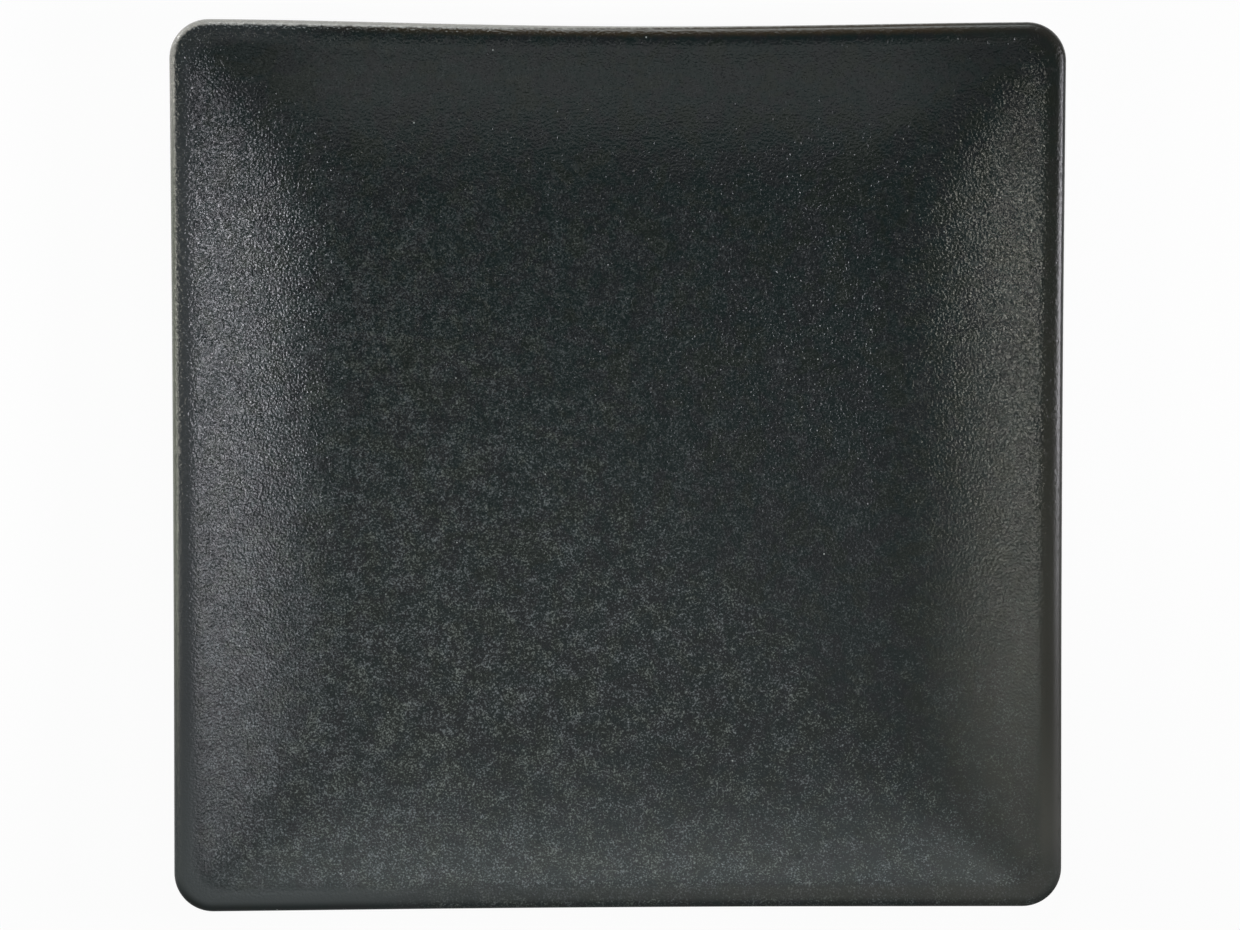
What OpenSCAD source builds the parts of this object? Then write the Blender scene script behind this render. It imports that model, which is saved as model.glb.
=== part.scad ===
// Square dinner plate in stoneware, coupe form: a flat square floor, four walls that
// curve up to a rounded rim, mitred corner valleys and a square standing foot.
// Millimetres, +Z up. The origin is the middle of the plate, on the surface that the
// foot stands on. X and Y run along the plate's sides.

/* [Plate] */
// Side of the plate over its rim, measured near the corners
plate_side = 260; // [220:5:300]
// Radius of each corner of the rim, seen from above
corner_r = 11.5; // [8:0.5:20]
// How far each side of the rim is drawn in at its middle
side_draw = 0.3; // [0:0.1:2]
// How far the rim rises at a corner above the middle of a side
corner_lift = 1.2; // [0:0.1:3]

/* [Floor and walls] */
// Side of the flat floor inside the walls
floor_side = 150; // [120:5:170]
// Height of the rim's crest above the floor, at the middle of a side
wall_rise = 15; // [10:0.5:20]
// Thickness of the fired clay of the floor
clay_t = 5.4; // [4:0.1:7]
// Corner radius that the valleys gain, as a share of the way in from the rim
valley_spread_share = 0.35; // [0.2:0.05:0.5]

/* [Rim] */
// Radius of the soft shoulder between the wall and the rim's crest
shoulder_r = 10; // [4:0.5:14]
// Radius of the rim's top, which falls gently outward from the crest
rim_top_r = 6; // [4:0.5:9]
// Slope in degrees at which the rim's top turns over into its outer edge
rim_fall = 18; // [10:1:30]
// Radius of the rim's outer edge
rim_edge_r = 1.8; // [1:0.1:2.4]
// Radius of the rim's underside, from its widest line in to the wall
rim_under_r = 4; // [3:0.5:6]

/* [Foot] */
// Height of the glazed underside above the surface that the foot stands on
foot_h = 5; // [4.6:0.2:8]
// Distance from the edge of the flat floor in to the foot's outer wall
foot_inset = 1; // [0.5:0.5:10]
// Width of the foot where it joins the plate
foot_w = 7; // [5:0.5:10]
// How far each wall of the foot leans in by the time it reaches the ground
foot_draft = 0.9; // [0:0.1:1.5]
// Bevel along both edges of the foot's bearing face
foot_bevel = 0.6; // [0.2:0.1:0.8]

/* [Glaze] */
// Thickness of the fired glaze
glaze_t = 0.4; // [0.2:0.05:0.8]
// Height of the bare clay that is wiped clean above the bearing face
bare_h = 1.5; // [1:0.1:2.5]

/* [Hidden] */

// Facets: steps along half a side, round a corner, up a wall, and along each arc of the rim
side_steps = 3;
arc_steps = 8;
wall_steps = 8;
shoulder_steps = 3;
rim_top_steps = 2;
rim_edge_steps = 3;
rim_under_steps = 2;
// How far a cutting block reaches past what it cuts
overrun = 2;

clay_colour = [0.46, 0.40, 0.34];
glaze_colour = [0.17, 0.19, 0.19];
underside_colour = [0.15, 0.16, 0.16];

plate_half = plate_side / 2;
floor_half = floor_side / 2;
// Centre of the arc of the rim's outer edge, which meets the arc of its top at rim_fall
rim_edge_half = plate_half - rim_edge_r;
crest_half = rim_edge_half - (rim_top_r - rim_edge_r) * sin(rim_fall);
crest_corner_r = corner_r - plate_half + crest_half;

under_z = foot_h;
clay_under_z = under_z + glaze_t;
floor_z = clay_under_z + clay_t + glaze_t;
crest_z = floor_z + wall_rise;
rim_edge_z = crest_z - rim_top_r + (rim_top_r - rim_edge_r) * cos(rim_fall);

// The wall and its shoulder are two arcs that meet at this slope, flat at the floor and at the crest
wall_run = crest_half - floor_half;
wall_slope = 2 * atan(wall_rise / wall_run);
wall_r = wall_run / sin(wall_slope) - shoulder_r;
// The rim's underside turns in from its widest line round a centre of its own, and the
// underside of the wall is one arc from there to the flat floor
rim_under_half = plate_half - rim_under_r;
under_run = rim_under_half - floor_half;
under_slope = 2 * atan((rim_edge_z - rim_under_r - under_z) / under_run);
under_r = under_run / sin(under_slope) + rim_under_r;

// Corner radius of the upper surface at a distance from the middle: it widens inward from
// the crest, and outside the crest it stays parallel to it
function upper_corner_r(half) =
    half > crest_half ? crest_corner_r + half - crest_half
    : crest_corner_r + valley_spread_share * (crest_half - half);

// Corner radius of the underside at a distance from the middle
function under_corner_r(half) = corner_r + valley_spread_share * (plate_half - half);

// Share of the draw-in and of the corner lift at a distance from the middle: none on the floor
function bend_share(half) = pow(max(0, (half - floor_half) / (plate_half - floor_half)), 2);

// A ring is [half its side, height, corner radius, bend share]. Rings on the clay lie `depth`
// under the glaze's surface, measured square to it, and so are smaller or larger in plan by
// the same amount in side and in corner radius.
function ring_at(half, z, surface_half, surface_corner_r) =
    [half, z, surface_corner_r + half - surface_half, bend_share(surface_half)];

function upper_ring(half, z, surface_half) =
    ring_at(half, z, surface_half, upper_corner_r(surface_half));

function under_ring(half, z, surface_half) =
    ring_at(half, z, surface_half, under_corner_r(surface_half));

// Rings from the edge of the floor up the wall, over the shoulder and out over the rim
function upper_rings(depth) = concat(
    [for (i = [0:wall_steps]) let (a = wall_slope * i / wall_steps)
        upper_ring(floor_half + (wall_r + depth) * sin(a), floor_z + wall_r - (wall_r + depth) * cos(a),
            floor_half + wall_r * sin(a))],
    [for (i = [1:shoulder_steps]) let (a = wall_slope * (1 - i / shoulder_steps))
        upper_ring(crest_half - (shoulder_r - depth) * sin(a),
            crest_z - shoulder_r + (shoulder_r - depth) * cos(a), crest_half - shoulder_r * sin(a))],
    [for (i = [1:rim_top_steps]) let (a = rim_fall * i / rim_top_steps)
        upper_ring(crest_half + (rim_top_r - depth) * sin(a),
            crest_z - rim_top_r + (rim_top_r - depth) * cos(a), crest_half + rim_top_r * sin(a))],
    [for (i = [1:rim_edge_steps - 1]) let (a = rim_fall + (90 - rim_fall) * i / rim_edge_steps)
        upper_ring(rim_edge_half + (rim_edge_r - depth) * sin(a), rim_edge_z + (rim_edge_r - depth) * cos(a),
            rim_edge_half + rim_edge_r * sin(a))]);

// The ring along the outermost line of the rim, where the upper and the lower surface meet
function widest_ring(depth) = upper_ring(plate_half - depth, rim_edge_z, plate_half);

// Rings from below that line in under the rim and down the underside
function under_rings(depth) = concat(
    [for (i = [1:rim_under_steps]) let (a = 90 + (90 - under_slope) * i / rim_under_steps)
        under_ring(rim_under_half + (rim_under_r - depth) * sin(a),
            rim_edge_z + (rim_under_r - depth) * cos(a), rim_under_half + rim_under_r * sin(a))],
    [for (i = [1:wall_steps]) let (a = under_slope * (1 - i / wall_steps))
        under_ring(floor_half + (under_r - depth) * sin(a), under_z + under_r - (under_r - depth) * cos(a),
            floor_half + under_r * sin(a))]);

foot_half = floor_half - foot_inset;
foot_corner_r = under_corner_r(foot_half);
foot_inner_half = foot_half - foot_w;

// A ring of the foot's outer or inner wall, which leans in by foot_draft over its height
function foot_lean(z) = foot_draft * (clay_under_z - z) / clay_under_z;
function foot_ring_at(half, z) = [half, z, foot_corner_r + half - foot_half, 0];
function foot_outer_ring(z, proud) = foot_ring_at(foot_half - foot_lean(z) + proud, z);
function foot_inner_ring(z, proud) = foot_ring_at(foot_inner_half + foot_lean(z) - proud, z);

// The points of one ring, counter-clockwise from the middle of the +X side. The first quarter
// is half a side, a corner and half a side, and the others are turned copies of it.
function quarter(half, corner) = let (straight = half - corner) concat(
    [for (i = [0:side_steps - 1]) [half, straight * i / side_steps]],
    [for (i = [0:arc_steps - 1]) let (a = 90 * i / arc_steps)
        [straight + corner * cos(a), straight + corner * sin(a)]],
    [for (i = [0:side_steps - 1]) [straight * (1 - i / side_steps), half]]);

function turned(p, quarters) =
    quarters == 0 ? p : turned([-p[1], p[0]], quarters - 1);

// Draws the middle of each side in and lifts the corners
function bent(p, half, z, share) = [
    p[0] * (1 - share * side_draw / half * (1 - pow(p[1] / half, 2))),
    p[1] * (1 - share * side_draw / half * (1 - pow(p[0] / half, 2))),
    z + share * corner_lift * pow(2 * p[0] * p[1] / (p[0] * p[0] + p[1] * p[1]), 4)];

function ring_points(ring) = [for (q = [0:3]) for (p = quarter(ring[0], ring[2]))
    bent(turned(p, q), ring[0], ring[1], ring[3])];

ring_count = 4 * (2 * side_steps + arc_steps);

// Two triangles for each step round, between ring a and ring b of a list
function band(a, b) = [for (i = [0:ring_count - 1]) let (j = (i + 1) % ring_count)
    each [[a * ring_count + i, b * ring_count + j, b * ring_count + i],
        [a * ring_count + i, a * ring_count + j, b * ring_count + j]]];

// Triangles from a middle point to ring a
function fan(middle, a, up) = [for (i = [0:ring_count - 1]) let (j = (i + 1) % ring_count)
    up ? [middle, a * ring_count + j, a * ring_count + i]
    : [middle, a * ring_count + i, a * ring_count + j]];

function all_points(rings) = [for (ring = rings) each ring_points(ring)];

// A closed dish: its rings run out over the top and back in below, from middle to middle
module dish(rings) {
    top = [0, 0, rings[0][1]];
    bottom = [0, 0, rings[len(rings) - 1][1]];
    count = len(rings) * ring_count;
    polyhedron(
        points = concat(all_points(rings), [top, bottom]),
        faces = concat(
            fan(count, 0, true),
            [for (k = [0:len(rings) - 2]) each band(k, k + 1)],
            fan(count + 1, len(rings) - 1, false)));
}

// A closed band: its rings run once round a section that has no middle
module hoop(rings) {
    polyhedron(
        points = all_points(rings),
        faces = [for (k = [0:len(rings) - 1]) each band(k, (k + 1) % len(rings))]);
}

function reversed(list) = [for (i = [len(list) - 1:-1:0]) list[i]];

// The pressed stoneware plate: floor, walls and rounded rim
module clay_body() color(clay_colour)
    dish(concat(upper_rings(glaze_t), [widest_ring(glaze_t)], under_rings(glaze_t)));

// The standing foot: a square ring of the same clay under the floor, ground flat below
module foot_ring() color(clay_colour)
    difference() {
        hoop([
            foot_outer_ring(clay_under_z, 0),
            foot_outer_ring(foot_bevel, 0),
            foot_outer_ring(0, -foot_bevel),
            foot_outer_ring(-overrun, -foot_bevel),
            foot_inner_ring(-overrun, -foot_bevel),
            foot_inner_ring(0, -foot_bevel),
            foot_inner_ring(foot_bevel, 0),
            foot_inner_ring(clay_under_z, 0)]);
        translate([-plate_half, -plate_half, -2 * overrun])
            cube([plate_side, plate_side, 2 * overrun]);
    }

// The glaze of the floor, the walls and the rim, down to the rim's outermost line
module face_glaze() color(glaze_colour)
    dish(concat(upper_rings(0), [widest_ring(0), widest_ring(glaze_t)], reversed(upper_rings(glaze_t))));

// The glaze under the rim and walls, and down the outside of the foot to the bare clay
module underside_glaze() color(underside_colour)
    hoop(concat(
        [widest_ring(0)],
        under_rings(0),
        [foot_outer_ring(under_z, glaze_t), foot_outer_ring(bare_h, glaze_t),
            foot_outer_ring(bare_h, 0), foot_outer_ring(clay_under_z, 0)],
        reversed(under_rings(glaze_t)),
        [widest_ring(glaze_t)]));

// The glaze of the recess inside the foot, and down the inside of the foot to the bare clay
module foot_well_glaze() color(underside_colour)
    dish([foot_inner_ring(clay_under_z, 0), foot_inner_ring(bare_h, 0),
        foot_inner_ring(bare_h, glaze_t), foot_inner_ring(under_z, glaze_t)]);

clay_body();
foot_ring();
face_glaze();
underside_glaze();
foot_well_glaze();
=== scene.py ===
"""A square dinner plate in matte black stoneware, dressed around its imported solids. Lengths in metres."""

import bpy
import numpy as np
from mathutils import Matrix, Vector


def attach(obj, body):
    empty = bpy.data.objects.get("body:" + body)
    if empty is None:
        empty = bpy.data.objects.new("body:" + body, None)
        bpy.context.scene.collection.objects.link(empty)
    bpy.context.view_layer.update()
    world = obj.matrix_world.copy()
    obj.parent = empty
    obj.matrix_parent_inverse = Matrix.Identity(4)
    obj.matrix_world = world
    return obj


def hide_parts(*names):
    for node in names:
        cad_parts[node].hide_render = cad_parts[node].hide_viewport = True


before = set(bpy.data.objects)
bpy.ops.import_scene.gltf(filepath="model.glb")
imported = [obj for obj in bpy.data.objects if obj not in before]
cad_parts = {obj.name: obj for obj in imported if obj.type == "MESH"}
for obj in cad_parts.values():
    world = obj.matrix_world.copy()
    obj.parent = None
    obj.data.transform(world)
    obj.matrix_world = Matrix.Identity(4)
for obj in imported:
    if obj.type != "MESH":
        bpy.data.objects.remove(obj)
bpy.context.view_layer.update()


# The clay plate: stoneware pressed over a square former, with a flat floor and four walls
# that curve up and meet in soft mitred valleys. The rim is sponged round while it is damp.
# It lies wholly under the glaze, so only its section shows, at the wiped edge of the foot.

MM = 0.001
PLATE_HALF = 130 * MM
FLOOR_HALF = 75 * MM
CORNER_R = 11.5 * MM
SIDE_DRAW = 0.31 * MM
BACK_DRAW = 2.2 * MM
BACK_SKEW = 0.9 * MM
BACK_DRAW_X = 10 * MM
CORNER_LIFT = 1.16 * MM
WALL_RISE = 15 * MM
CLAY_T = 5.4 * MM
GLAZE_T = 0.4 * MM
UNDER_Z = 5 * MM
VALLEY_SPREAD = 0.35
ROUNDEST_CORNER = 0.8
SHOULDER_R = 10 * MM
RIM_TOP_R = 6 * MM
RIM_EDGE_R = 1.8 * MM
RIM_UNDER_R = 4 * MM
RIM_FALL = np.radians(18)
STRAIGHT_OUT = np.pi / 2
SHARP_TURN = np.radians(50)

EDGE_HALF = PLATE_HALF - RIM_EDGE_R
CREST_HALF = EDGE_HALF - (RIM_TOP_R - RIM_EDGE_R) * np.sin(RIM_FALL)
FLOOR_Z = UNDER_Z + CLAY_T + 2 * GLAZE_T
CREST_Z = FLOOR_Z + WALL_RISE
EDGE_Z = CREST_Z - RIM_TOP_R + (RIM_TOP_R - RIM_EDGE_R) * np.cos(RIM_FALL)
WALL_RUN = CREST_HALF - FLOOR_HALF
WALL_SLOPE = 2 * np.arctan(WALL_RISE / WALL_RUN)
WALL_R = WALL_RUN / np.sin(WALL_SLOPE) - SHOULDER_R
UNDER_RUN = PLATE_HALF - RIM_UNDER_R - FLOOR_HALF
UNDER_SLOPE = 2 * np.arctan((EDGE_Z - RIM_UNDER_R - UNDER_Z) / UNDER_RUN)
UNDER_R = UNDER_RUN / np.sin(UNDER_SLOPE) + RIM_UNDER_R

SIDE_STEPS = 20
ARC_STEPS = 18
HIDDEN_TOP = {"floor_steps": 4, "wall_steps": 24, "shoulder_steps": 6, "edge_steps": 8}
HIDDEN_UNDER = {"wall_steps": 24, "edge_steps": 6}

CLAY_DARK = (0.13, 0.10, 0.08, 1)
CLAY_LIGHT = (0.20, 0.155, 0.12, 1)
IRON_SPOT = (0.05, 0.04, 0.035, 1)
CLAY_PATCH = 14 * MM
CLAY_SPOT = 0.9 * MM
CLAY_TOOTH = 0.5 * MM
CLAY_TOOTH_H = 0.05 * MM


def arc(centre, radius, depth, turns):
    """Points of an arc of the section at angles from straight up, round a centre given as (half, z),
    as (half, z, half at the glaze's surface). A point at a depth lies straight under its surface
    point; a negative radius is a hollow, whose centre is above it."""
    half, z = centre
    reach = radius - depth
    out, up = np.sin(turns), np.cos(turns)
    return np.stack([half + reach * out, z + reach * up, half + radius * out], axis=1)


def upper_path(depth, floor_steps, wall_steps, shoulder_steps, edge_steps):
    """The upper surface's section from near the middle to the rim's widest line, as (half, z, corner
    radius, bend share): a flat floor, a hollow wall, a shoulder, a gently falling top and a tight
    edge. The corner radius widens inward from the crest, up to a share of the ring's half width."""
    floor = np.linspace(0, 1, floor_steps + 1)[1:-1, None] * FLOOR_HALF * np.array([1, 0, 1])
    floor[:, 1] = FLOOR_Z - depth
    up = -np.linspace(0, WALL_SLOPE, wall_steps + 1)
    over = -np.linspace(WALL_SLOPE, 0, shoulder_steps + 1)[1:]
    fall = np.linspace(0, RIM_FALL, edge_steps + 1)[1:]
    edge = np.linspace(RIM_FALL, STRAIGHT_OUT, edge_steps + 1)[1:]
    half, z, surface = np.concatenate([
        floor,
        arc((FLOOR_HALF, FLOOR_Z + WALL_R), -WALL_R, depth, up),
        arc((CREST_HALF, CREST_Z - SHOULDER_R), SHOULDER_R, depth, over),
        arc((CREST_HALF, CREST_Z - RIM_TOP_R), RIM_TOP_R, depth, fall),
        arc((EDGE_HALF, EDGE_Z), RIM_EDGE_R, depth, edge)]).T
    crest_corner = CORNER_R - PLATE_HALF + CREST_HALF
    corner = np.where(
        surface > CREST_HALF,
        crest_corner + surface - CREST_HALF,
        crest_corner + VALLEY_SPREAD * (CREST_HALF - surface))
    corner = np.minimum(corner, surface * ROUNDEST_CORNER)
    return np.stack([half, z, corner + half - surface, bend_share(surface)], axis=1)


def under_path(depth, wall_steps, edge_steps):
    """The underside's section from just below the rim's widest line to the edge of the flat floor: a
    round turn in under the rim and one long arc down."""
    turn = np.linspace(STRAIGHT_OUT, np.pi - UNDER_SLOPE, edge_steps + 1)[1:]
    down = np.pi - np.linspace(UNDER_SLOPE, 0, wall_steps + 1)[1:]
    half, z, surface = np.concatenate([
        arc((PLATE_HALF - RIM_UNDER_R, EDGE_Z), RIM_UNDER_R, depth, turn),
        arc((FLOOR_HALF, UNDER_Z + UNDER_R), UNDER_R, depth, down)]).T
    return np.stack([half, z, under_corner(surface) + half - surface, bend_share(surface)], axis=1)


def under_corner(half):
    """Corner radius of the underside, which widens inward from the rim."""
    return CORNER_R + VALLEY_SPREAD * (PLATE_HALF - half)


def bend_share(half):
    """How much of the rim's draw-in and corner lift a ring has: none on the floor and all at the
    edge, by the square of its way up the wall."""
    return np.clip((half - FLOOR_HALF) / (PLATE_HALF - FLOOR_HALF), 0, 1) ** 2


def ring_grid(path):
    """Points of a path carried round a rounded square, as an array of rings by points by three. A
    ring's quarter is half a side, a corner arc and half a side, and the other three are turned copies
    of it. The middle of each side is drawn in along a parabola, and the back's, which warped in the
    kiln, along a narrower bell a little to the right, with its right corner pulled in as well. The
    corners are lifted by the fourth power of the sine of twice a point's angle round the plate."""
    half, z, corner, share = (column[:, None] for column in path.T)
    straight = half - corner
    run = np.linspace(0, 1, SIDE_STEPS + 1)[None, :-1]
    angle = np.linspace(0, np.pi / 2, ARC_STEPS + 1)[None, :-1]
    x = np.concatenate([half + 0 * run, straight + corner * np.cos(angle), straight * (1 - run)], axis=1)
    y = np.concatenate([straight * run, straight + corner * np.sin(angle), half + 0 * run], axis=1)
    x, y = np.concatenate([x, -y, -x, y], axis=1), np.concatenate([y, x, -y, -x], axis=1)
    draw = share * SIDE_DRAW / half
    bell = np.clip(1 - ((x - BACK_DRAW_X) / half) ** 2, 0, 1) ** 2
    skew = np.clip(x / half, 0, 1) ** 2
    warp = (BACK_DRAW - SIDE_DRAW) * bell + BACK_SKEW * skew
    back = share * warp / half * np.clip(y / half, 0, 1)
    lift = share * CORNER_LIFT * (2 * x * y / (x * x + y * y)) ** 4
    return np.stack([
        x * (1 - draw * (1 - (y / half) ** 2)),
        y * (1 - draw * (1 - (x / half) ** 2) - back),
        z + lift], axis=2)


def skin_mesh(name, grid, middles):
    """A closed mesh over a grid of rings. With middles, the first and last ring close on a point in
    their middle, and without, the last ring joins the first."""
    rings, around = grid.shape[:2]
    points = grid.reshape(-1, 3)
    here = np.arange(around)
    after = (here + 1) % around
    ring = np.arange(rings - 1 if middles else rings)[:, None]
    near, far = ring * around, (ring + 1) % rings * around
    faces = np.stack([near + here, far + here, far + after, near + after], axis=2).reshape(-1, 4).tolist()
    if middles:
        count = len(points)
        points = np.vstack([points, points[:around].mean(axis=0), points[-around:].mean(axis=0)])
        end = (rings - 1) * around
        faces += np.stack([np.full(around, count), here, after], axis=1).tolist()
        faces += np.stack([np.full(around, count + 1), end + after, end + here], axis=1).tolist()
    mesh = bpy.data.meshes.new(name)
    mesh.from_pydata(points.tolist(), [], faces)
    mesh.shade_smooth()
    mesh.set_sharp_from_angle(angle=SHARP_TURN)
    piece = bpy.data.objects.new(name, mesh)
    bpy.context.scene.collection.objects.link(piece)
    return piece


class Wire:
    """A socket of a node tree, on which sums can be written as Python expressions."""

    def __init__(self, finish, socket):
        self.finish = finish
        self.socket = socket

    def math(self, operation, first, second):
        return self.finish.node("ShaderNodeMath", {"operation": operation}, {0: first, 1: second})[0]

    def __add__(self, other):
        return self.math("ADD", self, other)

    __radd__ = __add__

    def __sub__(self, other):
        return self.math("SUBTRACT", self, other)

    def __rsub__(self, other):
        return self.math("SUBTRACT", other, self)

    def __mul__(self, other):
        return self.math("MULTIPLY", self, other)

    __rmul__ = __mul__

    def __pow__(self, other):
        return self.math("POWER", self, other)

    def step(self, low, high):
        """0 below low, 1 above high and a smooth climb between them."""
        return self.finish.node(
            "ShaderNodeMapRange", {"interpolation_type": "SMOOTHSTEP"},
            {"Value": self, "From Min": low, "From Max": high})[0]


class Finish:
    """A material, or the light of the room, under construction."""

    def __init__(self, name, shelf=bpy.data.materials, end="ShaderNodeOutputMaterial"):
        self.made = shelf.new(name)
        self.made.use_nodes = True
        self.made.node_tree.nodes.clear()
        self.end = end

    def node(self, kind, settings, sockets):
        """Adds a node, sets its settings, fills its sockets with values or wires, and gives its
        outputs."""
        tree = self.made.node_tree
        new = tree.nodes.new(kind)
        for key, value in settings.items():
            setattr(new, key, value)
        for key, value in sockets.items():
            if isinstance(value, Wire):
                tree.links.new(value.socket, new.inputs[key])
            else:
                new.inputs[key].default_value = value
        return [Wire(self, socket) for socket in new.outputs]

    def place(self):
        """The point's place on the object, in metres."""
        return self.node("ShaderNodeTexCoord", {}, {})[3]

    def noise(self, place, size, detail=2.0, rough=0.5, warp=0.0):
        """Noise whose main features are about size across, from 0 to 1."""
        return self.node("ShaderNodeTexNoise", {}, {
            "Vector": place, "Scale": 1 / size, "Detail": detail, "Roughness": rough,
            "Distortion": warp})[0]

    def mix(self, share, a, b):
        """Colour a where share is 0 and colour b where it is 1."""
        return self.node("ShaderNodeMix", {"data_type": "RGBA"}, {0: share, 6: a, 7: b})[2]

    def bumps(self, height, distance):
        """Normals of a surface that stands out by height times distance."""
        return self.node(
            "ShaderNodeBump", {}, {"Height": height, "Distance": distance, "Strength": 1.0})[0]

    def ware(self, tint, roughness, normal, **more):
        """A ceramic surface."""
        return self.node("ShaderNodeBsdfPrincipled", {}, {
            "Base Color": tint, "Roughness": roughness, "Normal": normal, **more})[0]

    def blend(self, share, a, b):
        """Shader a where share is 0 and shader b where it is 1."""
        return self.node("ShaderNodeMixShader", {}, {0: share, 1: a, 2: b})[0]

    def close(self, shader):
        """Sends a shader to the output."""
        self.node(self.end, {}, {"Surface": shader})
        return self.made


clay = skin_mesh("clay_plate", ring_grid(np.concatenate([
    upper_path(GLAZE_T, **HIDDEN_TOP), under_path(GLAZE_T, **HIDDEN_UNDER)])), middles=True)
stoneware = Finish("fired_stoneware")
place = stoneware.place()
speck = stoneware.noise(place, CLAY_SPOT, detail=3).step(0.56, 0.68)
body_colour = stoneware.mix(stoneware.noise(place, CLAY_PATCH, detail=3), CLAY_DARK, CLAY_LIGHT)
body_colour = stoneware.mix(speck * 0.5, body_colour, IRON_SPOT)
tooth = stoneware.bumps(stoneware.noise(place, CLAY_TOOTH, detail=4), CLAY_TOOTH_H)
clay.data.materials.append(stoneware.close(stoneware.ware(body_colour, 0.85, tooth)))
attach(clay, "root")
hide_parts("clay_body")


# The foot: a square ring of the same clay, luted on under the floor. Its edge is wiped free
# of glaze and ground flat on a stone, so it is bare, pale and slightly gritty.

FOOT_HALF = FLOOR_HALF - 1 * MM
FOOT_W = 7 * MM
FOOT_DRAFT = 0.9 * MM
FOOT_BEVEL = 0.6 * MM
BEVEL_STEPS = 4
BARE_H = 1.5 * MM
CLAY_UNDER_Z = UNDER_Z + GLAZE_T

GROUND_DARK = (0.17, 0.13, 0.10, 1)
GROUND_LIGHT = (0.27, 0.215, 0.165, 1)
GROUND_PATCH = 9 * MM
GROUND_SPOT = 0.8 * MM
GROUND_GRIT = 0.35 * MM
GROUND_GRIT_H = 0.06 * MM


def foot_path(side, z, proud):
    """Rings of the foot's outer wall (side 1) or inner wall (side -1) at heights z, each standing
    proud of the clay. A wall leans in evenly from the plate to the ground."""
    z = np.atleast_1d(np.asarray(z, float))
    lean = FOOT_DRAFT * (CLAY_UNDER_Z - z) / CLAY_UNDER_Z
    top = FOOT_HALF if side > 0 else FOOT_HALF - FOOT_W
    half = top - side * lean + side * proud
    corner = under_corner(FOOT_HALF) + half - FOOT_HALF
    return np.stack([half, z, corner, 0 * half], axis=1)


def eased_edge(side):
    """The foot's bearing edge, from its wall round a quarter circle to the ground face."""
    turn = np.linspace(0, np.pi / 2, BEVEL_STEPS + 1)
    path = foot_path(side, FOOT_BEVEL * (1 - np.sin(turn)), 0.0)
    shift = -side * FOOT_BEVEL * (1 - np.cos(turn))
    path[:, 0] += shift
    path[:, 2] += shift
    return path


foot = skin_mesh("foot_ring_piece", ring_grid(np.concatenate([
    foot_path(1, [CLAY_UNDER_Z, BARE_H], 0.0), eased_edge(1),
    eased_edge(-1)[::-1], foot_path(-1, [BARE_H, CLAY_UNDER_Z], 0.0)])), middles=False)
bare_clay = Finish("bare_ground_clay")
place = bare_clay.place()
speck = bare_clay.noise(place, GROUND_SPOT, detail=3).step(0.58, 0.70)
foot_colour = bare_clay.mix(bare_clay.noise(place, GROUND_PATCH, detail=3), GROUND_DARK, GROUND_LIGHT)
foot_colour = bare_clay.mix(speck * 0.7, foot_colour, IRON_SPOT)
grit = bare_clay.bumps(bare_clay.noise(place, GROUND_GRIT, detail=3), GROUND_GRIT_H)
foot.data.materials.append(bare_clay.close(bare_clay.ware(foot_colour, 0.9, grit)))
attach(foot, "root")
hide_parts("foot_ring")


# The face glaze: an iron-black matte glaze, poured over well, walls and rim, with an orange-peel
# grain and grey specks that are partly crystals and partly painted sparkle. It dried thin and dull in
# the back corners and along the front edge, and ran off the rim, where it breaks to brown on the back's
# crest. Its lip is lightened with painted light, and the pale line on the edge is a painted reflection.

SHOWN_TOP = {"floor_steps": 40, "wall_steps": 48, "shoulder_steps": 12, "edge_steps": 12}
WAVES = np.array([[9.1, 23.0, 0.7], [17.3, -7.9, 2.1], [13.7, 11.9, 4.2], [-31.0, 14.3, 1.3]])
WAVE_H = 0.012 * MM
WAVES_END = 6 * MM

TEAL = (0.0043, 0.0096, 0.0096, 1)
SLATE = (0.0068, 0.0091, 0.0101, 1)
OLIVE = (0.0060, 0.0096, 0.0080, 1)
DUST = (0.074, 0.074, 0.060, 1)
CRYSTAL_AND_SPARKLE_GREY = (0.148, 0.166, 0.171, 1)
CRYSTAL_AND_SPARKLE_OLIVE = (0.148, 0.168, 0.155, 1)
PINPOINT = (0.30, 0.32, 0.31, 1)
LIP_BLUE = (0.0310, 0.0350, 0.0375, 1)
LIP_BROWN = (0.0230, 0.0225, 0.0170, 1)
LIP_FRONT = (0.0530, 0.0610, 0.0620, 1)
LIP_CORNER = (0.0600, 0.0600, 0.0520, 1)
BROWN = (0.036, 0.022, 0.009, 1)
EDGE_REFLECTION_GREY = (0.26, 0.26, 0.254, 1)
EDGE_REFLECTION_OLIVE = (0.155, 0.162, 0.138, 1)
EDGE_REFLECTION_BACK = (0.32, 0.31, 0.29, 1)

# Sizes of the glaze's clouds, crystals and grain.
HUE_PATCH = 7 * MM
DULL_PATCH = 8 * MM
CLOUD = 5 * MM
CRYSTAL = 0.55 * MM
PINPOINTS_APART = 9 * MM
PINPOINT_EDGE = (0.015, 0.036)
TORN_EDGE = 1.2 * MM
PIT = 1.9 * MM
GRAIN = 0.75 * MM
GRAIN_H = 0.30 * MM
GLOSS_PATCH = 2.2 * MM

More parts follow.
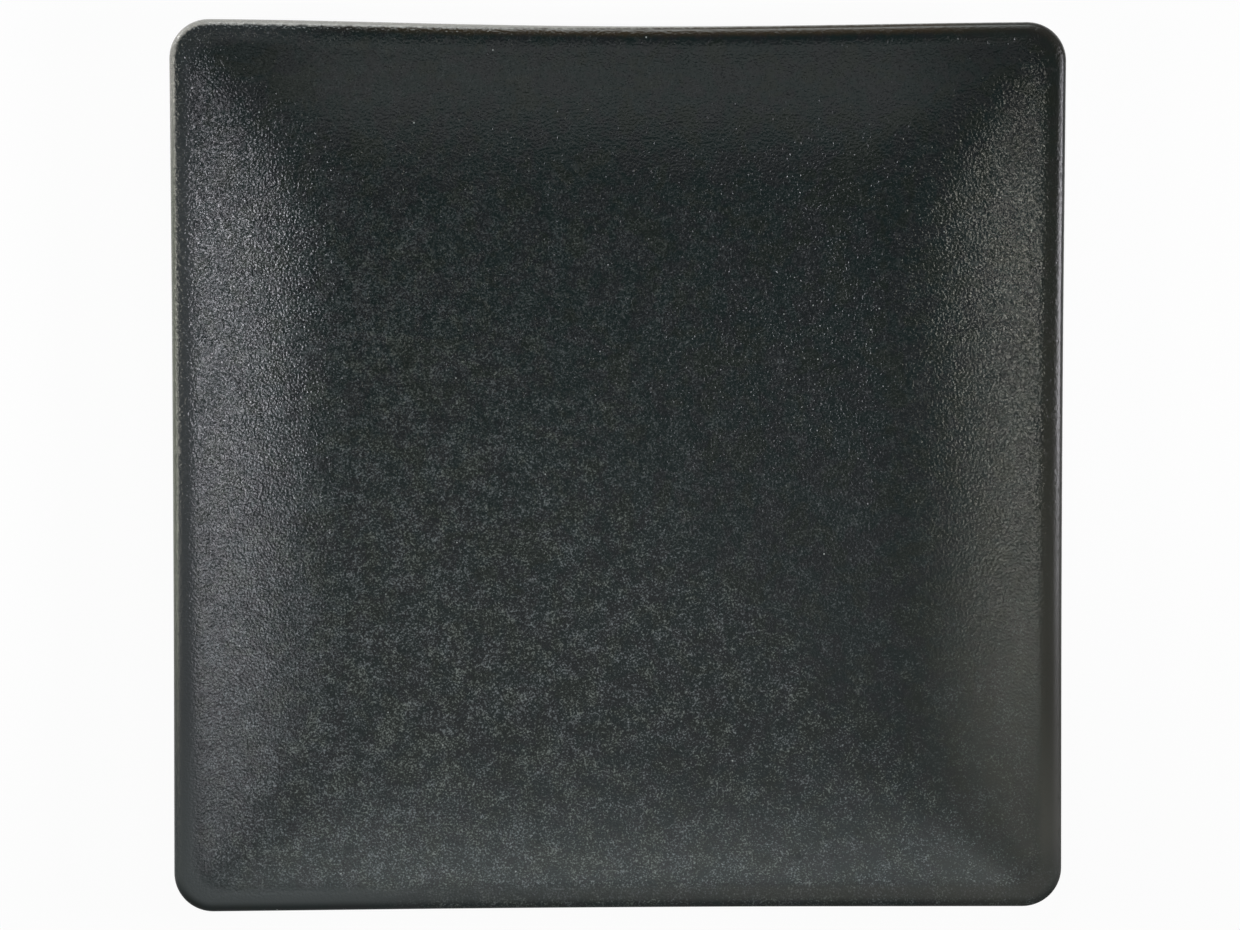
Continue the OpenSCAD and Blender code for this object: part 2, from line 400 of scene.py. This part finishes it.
# Bands of x or y over which a look fades in.
FACE = (-110 * MM, 110 * MM)
SIDE_WALLS = (70 * MM, 112 * MM)
BACK_WALL = (70 * MM, 120 * MM)
BACK_CREST = (112 * MM, 124 * MM)
CREST_FROM_LEFT = (-105 * MM, -40 * MM)
CREST_TO_RIGHT = (84 * MM, 116 * MM)
BACK_SHADE_FEW_SPECKS = (66 * MM, 96 * MM)
BACK_NOOKS = (68 * MM, 112 * MM)
BACK_PALE_TO = (10 * MM, 70 * MM)
SPARKLE_HUMP_FROM = (-30 * MM, 35 * MM)
SPARKLE_HUMP_TO = (40 * MM, 100 * MM)
FRONT_SILL = (-120 * MM, -106 * MM)
SILL_FROM_LEFT = (-100 * MM, -40 * MM)
FRONT_LIP = (-126 * MM, -62 * MM)
FRONT_SKIRT = (-128 * MM, -118 * MM)
PALE_FROM_FRONT = (-110 * MM, -10 * MM)
APRON = (-6 * MM, 12 * MM)
DUST_RIGHT = (82 * MM, 110 * MM)
DUST_TO_BACK = (-75 * MM, 15 * MM)

# Bands of the distance from the rim's widest line.
RIM_NO_CRYSTALS = (5 * MM, 14 * MM)
RIM_LIP = (6 * MM, 9 * MM)
RIM_SKIRT = (2.0 * MM, 4.4 * MM)
RIM_BROWN = (2.6 * MM, 5.0 * MM)
RIM_PALE = (1.95 * MM, 2.95 * MM)
RIM_SMOOTH = (2 * MM, 8 * MM)
RIM_WORN = (1 * MM, 4 * MM)
RIM_NOOK = (3 * MM, 9 * MM)
THICK_ROLL = 8 * MM
PALE_NARROWS = 1.75 * MM


def face_waves(grid):
    """Slow waves of the hand-finished face, a sum of four crossed sines of x over one length plus y
    over another plus a start, fading at the rim."""
    x, y = grid[:, :, :1] / MM, grid[:, :, 1:2] / MM
    across, along, start = WAVES.T
    wave = np.sin(x / across + y / along + start).sum(axis=2)
    reach = np.maximum(abs(grid[:, :, 0]), abs(grid[:, :, 1]))
    grid[:, :, 2] += WAVE_H * wave * np.clip((PLATE_HALF - reach) / WAVES_END, 0, 1)
    return grid


def rim_distance(path, widest):
    """How far each ring of a path lies from its widest ring, measured along the section."""
    run = np.concatenate([[0], np.cumsum(np.hypot(np.diff(path[:, 0]), np.diff(path[:, 1])))])
    return abs(run - run[widest])


def mark_rim(piece, distances):
    """Writes every point's distance from the rim's widest line into the mesh, ring by ring. Points
    that close a middle get the greatest distance."""
    around = 4 * (2 * SIDE_STEPS + ARC_STEPS)
    values = np.full(len(piece.data.vertices), distances.max())
    values[:len(distances) * around] = np.repeat(distances, around)
    piece.data.attributes.new("rim_distance", "FLOAT", "POINT").data.foreach_set("value", values)


def black_glaze(name, speck_amount):
    """The glaze's material. Its last argument, from 0 to 1, is how thickly the grey specks and pinpoints
    lie; they are partly crystals and partly painted sparkle.
    """
    glaze = Finish(name)
    place = glaze.place()
    x, y = glaze.node("ShaderNodeSeparateXYZ", {}, {"Vector": place})[:2]
    rim = glaze.node("ShaderNodeAttribute", {"attribute_name": "rim_distance"}, {})[2]

    # Where on the plate a point is. The glaze lay thick at the left back and on the front sill.
    right = x.step(*FACE)
    left = 1 - right
    front = 1 - y.step(*FACE)
    back = y.step(*BACK_WALL)
    steep = (x * x).step(SIDE_WALLS[0] ** 2, SIDE_WALLS[1] ** 2)
    sill = (1 - y.step(*FRONT_SILL)) * x.step(*SILL_FROM_LEFT)
    thick = (left * (1 - front) + sill) * THICK_ROLL

    # The ground colour, in clouds of teal, slate and olive, and dusty at the right front.
    hue = glaze.noise(place, HUE_PATCH, detail=2, rough=0.6).step(0.44, 0.58)
    tint = glaze.mix(hue, TEAL, SLATE)
    dull = glaze.noise(place, DULL_PATCH, detail=2, rough=0.6, warp=0.3) + right * 0.04
    tint = glaze.mix(dull.step(0.54, 0.66), tint, OLIVE)
    dusty = x.step(*DUST_RIGHT) * (1 - y.step(*DUST_TO_BACK))
    tint = glaze.mix(dusty * 0.18, tint, DUST)

    # Grey specks, partly the glaze's crystals and partly painted sparkle, and pinpoints, partly painted
    # glints. Their spread is painted light: thickest at the front and left and on a hump of the side walls,
    # where the lamps light the glaze, and thinned at the back, which lies in shade.
    apron = (y * -1 - x).step(*APRON)
    sparkle_hump = y.step(*SPARKLE_HUMP_FROM) * (1 - y.step(*SPARKLE_HUMP_TO)) * steep
    cloud = glaze.noise(place, CLOUD, detail=3, rough=0.7)
    density = (cloud - 0.5) * 0.34 + left * 0.05 + sparkle_hump * 0.05
    speck = (glaze.noise(place, CRYSTAL, detail=2, rough=0.65) + density).step(0.47, 0.78) ** 1.6
    speck = speck * (0.9 - right * (1 - apron) * 0.48)
    speck = speck * (front * (front * 0.54 + 0.31) + 0.36)
    speck = speck * (1 - y.step(*BACK_SHADE_FEW_SPECKS) * 0.6)
    speck = speck * (rim + thick).step(*RIM_NO_CRYSTALS) * speck_amount
    tint = glaze.mix(speck, tint, glaze.mix(dull.step(0.44, 0.60), CRYSTAL_AND_SPARKLE_GREY, CRYSTAL_AND_SPARKLE_OLIVE))
    from_pinpoint = glaze.node(
        "ShaderNodeTexVoronoi", {}, {"Vector": place, "Scale": 1 / PINPOINTS_APART})[0]
    tint = glaze.mix((1 - from_pinpoint.step(*PINPOINT_EDGE)) * speck_amount, tint, PINPOINT)

    # The lip, lightened with painted light on its rounding, most at the left back and at the front; the
    # brown crest at the back; and the pale line on the outer edge, a painted reflection of the bright
    # surroundings.
    skirt = (1 - y.step(*FRONT_SKIRT)) * (1 - rim.step(*RIM_SKIRT))
    lip = (1 - rim.step(*RIM_LIP)) * (1 - back * (1 - steep * 0.5)) * (1 - sill * 0.5)
    lip = lip * (1 - right * (1 - front) * 0.5) * (1 - skirt * 0.9)
    lip_back = glaze.mix(right, LIP_BLUE, LIP_BROWN)
    lip_front = glaze.mix(right, LIP_FRONT, LIP_CORNER)
    tint = glaze.mix(lip, tint, glaze.mix(1 - y.step(*FRONT_LIP), lip_back, lip_front))
    torn = (glaze.noise(place, TORN_EDGE, detail=2) - 0.5) * TORN_EDGE + rim
    crest = (1 - torn.step(*RIM_BROWN)) * y.step(*BACK_CREST) * x.step(*CREST_FROM_LEFT)
    tint = glaze.mix(crest * (0.7 - x.step(*CREST_TO_RIGHT) * 0.5), tint, BROWN)
    # The pale line is a painted reflection of the bright surroundings on the rim's outer edge: olive at the
    # left, grey at the right, palest at the left back, narrower at the right and gone toward the front.
    painted_edge_reflection = 1 - (torn + right * PALE_NARROWS).step(*RIM_PALE)
    pale = glaze.mix(right, EDGE_REFLECTION_OLIVE, EDGE_REFLECTION_GREY)
    pale = glaze.mix(back * (1 - x.step(*BACK_PALE_TO)), pale, EDGE_REFLECTION_BACK)
    tint = glaze.mix(painted_edge_reflection * y.step(*PALE_FROM_FRONT), tint, pale)

    # The orange-peel grain: pitted on the side walls, and smoother at the front and the rim.
    pits = glaze.noise(place, PIT, detail=1).step(0.28, 0.46) * 0.25
    grain = glaze.noise(place, GRAIN, detail=1, rough=0.5) + pits * steep
    sharp = (rim + thick * 0.3).step(*RIM_SMOOTH) * 0.8 + 0.2
    sharp = sharp * (1.05 + steep * (0.3 - right * 0.2))
    sharp = sharp * (1 - front ** 3 * (0.5 + right * 0.3))
    peel = glaze.bumps(grain * sharp, GRAIN_H)

    # The gloss: duller in patches, toward the front and on the worn right rim, and dry in the
    # back corners' nooks and along the skirt of the front edge.
    worn = (1 - rim.step(*RIM_WORN)) * right * 0.12
    patches = glaze.noise(place, GLOSS_PATCH, detail=1).step(0.62, 0.74) * 0.12
    gloss = glaze.ware(tint, patches + front ** 1.8 * 0.26 + worn + 0.25, peel, IOR=1.5)
    dry = glaze.ware(tint, 1.0, peel, **{"Specular IOR Level": 0.0})
    nook = y.step(*BACK_NOOKS) * steep * rim.step(*RIM_NOOK)
    return glaze.close(glaze.blend(nook * 0.45 + skirt * 0.5, gloss, dry))


face_path = upper_path(0.0, **SHOWN_TOP)
back_path = upper_path(GLAZE_T, **HIDDEN_TOP)[::-1]
face = skin_mesh("face_glaze_piece", np.concatenate([
    face_waves(ring_grid(face_path)), ring_grid(back_path)]), middles=True)
mark_rim(face, np.concatenate([rim_distance(face_path, -1), rim_distance(back_path, 0)]))
face.data.materials.append(black_glaze("crystalline_black_glaze", 1.0))
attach(face, "root")
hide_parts("face_glaze")


# The underside glaze: the same glaze dipped over the back. It runs from the widest line of the
# rim down under the walls and down the foot, to the wiped line, and has few grey specks.

SHOWN_UNDER = {"wall_steps": 40, "edge_steps": 8}

widest_ring = upper_path(0.0, **HIDDEN_TOP)[-1:]
widest_ring_inside = upper_path(GLAZE_T, **HIDDEN_TOP)[-1:]
under_front = np.concatenate([
    widest_ring, under_path(0.0, **SHOWN_UNDER), foot_path(1, [UNDER_Z, BARE_H], GLAZE_T)])
under_back = np.concatenate([
    foot_path(1, [BARE_H, CLAY_UNDER_Z], 0.0), under_path(GLAZE_T, **HIDDEN_UNDER)[::-1],
    widest_ring_inside])
under_grid = ring_grid(np.concatenate([under_front, under_back]))
under = skin_mesh("underside_glaze_piece", under_grid, middles=False)
mark_rim(under, np.concatenate([rim_distance(under_front, 0), rim_distance(under_back, -1)]))
under_glaze = black_glaze("underside_black_glaze", 0.3)
under.data.materials.append(under_glaze)
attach(under, "root")
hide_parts("underside_glaze")


# The glaze of the foot's recess: poured in, swirled and tipped out, it covers the back of the
# floor and the inside of the foot down to the wiped line.

well_path = np.concatenate([
    foot_path(-1, [CLAY_UNDER_Z, BARE_H], 0.0), foot_path(-1, [BARE_H, UNDER_Z], GLAZE_T)])
well = skin_mesh("foot_well_glaze_piece", ring_grid(well_path), middles=True)
mark_rim(well, np.full(len(well_path), PLATE_HALF - FOOT_HALF))
well.data.materials.append(under_glaze)
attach(well, "root")
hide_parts("foot_well_glaze")


# The studio: a white table that runs on past the frame, two near lamps whose grids aim them at
# the side walls, four wide soft boxes, and a dim room that the camera sees as white. The table
# shows almost as white, and keeps part of the plate's soft shadow.

WHITE = (1, 1, 1, 1)
TABLE_HALF = 3.0
TABLE_PAPER = (0.86, 0.86, 0.86, 1)
TABLE_WHITENED = 0.95
ROOM_TINT = (0.92, 0.98, 0.98, 1)
ROOM_LIGHT = 0.05
NEAR = 0.66
FAR = 1.4
LEFT_WALL = (-0.115, 0.030, 0.02)
RIGHT_WALL = (0.115, 0.052, 0.02)
GRID = 50

table_mesh = bpy.data.meshes.new("table_top")
table_mesh.from_pydata(
    [(-TABLE_HALF, -TABLE_HALF, 0), (TABLE_HALF, -TABLE_HALF, 0),
     (TABLE_HALF, TABLE_HALF, 0), (-TABLE_HALF, TABLE_HALF, 0)], [], [(0, 1, 2, 3)])
table = bpy.data.objects.new("table_top", table_mesh)
bpy.context.scene.collection.objects.link(table)
white = Finish("white_table")
ray = white.node("ShaderNodeLightPath", {}, {})
to_camera, glossy, through = ray[0], ray[3], ray[6]
paper = white.node("ShaderNodeBsdfDiffuse", {}, {"Color": TABLE_PAPER})[0]
glow = white.node("ShaderNodeEmission", {}, {"Color": WHITE, "Strength": 1.0})[0]
table_mesh.materials.append(
    white.close(white.blend((to_camera + glossy + through) * TABLE_WHITENED, paper, glow)))

room = Finish("pale_room", bpy.data.worlds, "ShaderNodeOutputWorld")
air = room.node("ShaderNodeBackground", {}, {"Color": ROOM_TINT, "Strength": ROOM_LIGHT})[0]
sky = room.node("ShaderNodeBackground", {}, {"Color": WHITE, "Strength": 1.0})[0]
to_camera = room.node("ShaderNodeLightPath", {}, {})[0]
bpy.context.scene.world = room.close(room.blend(to_camera, air, sky))


def soft_box(name, place, width, height, power, tint, aim=(0, 0, 0), spread=180):
    """An area lamp that faces a point of the plate. A grid narrows its light to a spread in degrees."""
    lamp = bpy.data.lights.new(name, "AREA")
    lamp.shape = "RECTANGLE"
    lamp.size = width
    lamp.size_y = height
    lamp.energy = power
    lamp.color = tint
    lamp.spread = np.radians(spread)
    stand = bpy.data.objects.new(name, lamp)
    stand.location = place
    stand.rotation_euler = (Vector(aim) - Vector(place)).to_track_quat("-Z", "Y").to_euler()
    bpy.context.scene.collection.objects.link(stand)


def sky_place(distance, from_above, round_from_right):
    """A place in the room, by its distance, its angle from straight above and its angle round from
    +X."""
    polar, turn = np.radians(from_above), np.radians(round_from_right)
    return tuple(distance * v for v in (
        np.sin(polar) * np.cos(turn), np.sin(polar) * np.sin(turn), np.cos(polar)))


soft_box("key_right", sky_place(NEAR, 50.5, 1), 0.2, 0.16, 0.307, (0.96, 0.94, 1.0), LEFT_WALL, GRID)
soft_box("fill_left", sky_place(NEAR, 46.5, 181), 0.2, 0.16, 0.150, (1.0, 0.98, 0.87), RIGHT_WALL, GRID)
soft_box("back_box", sky_place(FAR, 52, 88), 0.6, 0.5, 7.0, (0.93, 1.0, 1.0))
soft_box("low_right", sky_place(FAR, 82, 40), 0.5, 0.36, 1.0, (1.0, 1.0, 1.0))
soft_box("low_back_left", sky_place(FAR, 82, 140), 0.5, 0.36, 8.0, (1.0, 1.0, 1.0))
soft_box("front_panel", sky_place(FAR, 54, -90), 2.2, 1.4, 6.3, (0.97, 1.0, 0.98))


# The camera stands almost over the plate, a little past its far edge and to the left.

CAMERA_DISTANCE = 1.7
TILT_X = np.radians(-2.4)
TILT_Y = np.radians(4.6)
IMAGE_W, IMAGE_H = 1240, 930
PIXELS_PER_M = 3432.0
CENTRE = (619.0, 466.2)
SENSOR = 36.0
CLIP_END = 50

aim = Vector((0, 0, EDGE_Z))
look = Vector((np.sin(TILT_X), np.sin(TILT_Y), np.sqrt(1 - np.sin(TILT_X) ** 2 - np.sin(TILT_Y) ** 2)))
across = Vector((0, 1, 0)).cross(look).normalized()
camera_data = bpy.data.cameras.new("camera")
camera_data.sensor_fit = "HORIZONTAL"
camera_data.sensor_width = SENSOR
camera_data.lens = SENSOR * CAMERA_DISTANCE * PIXELS_PER_M / IMAGE_W
camera_data.shift_x = (IMAGE_W / 2 - CENTRE[0]) / IMAGE_W
camera_data.shift_y = (CENTRE[1] - IMAGE_H / 2) / IMAGE_W
camera_data.clip_end = CLIP_END
camera = bpy.data.objects.new("camera", camera_data)
camera.location = aim + look * CAMERA_DISTANCE
camera.rotation_euler = Matrix((across, look.cross(across), look)).transposed().to_euler()
bpy.context.scene.collection.objects.link(camera)
bpy.context.scene.camera = camera
bpy.context.scene.view_settings.view_transform = "Standard"
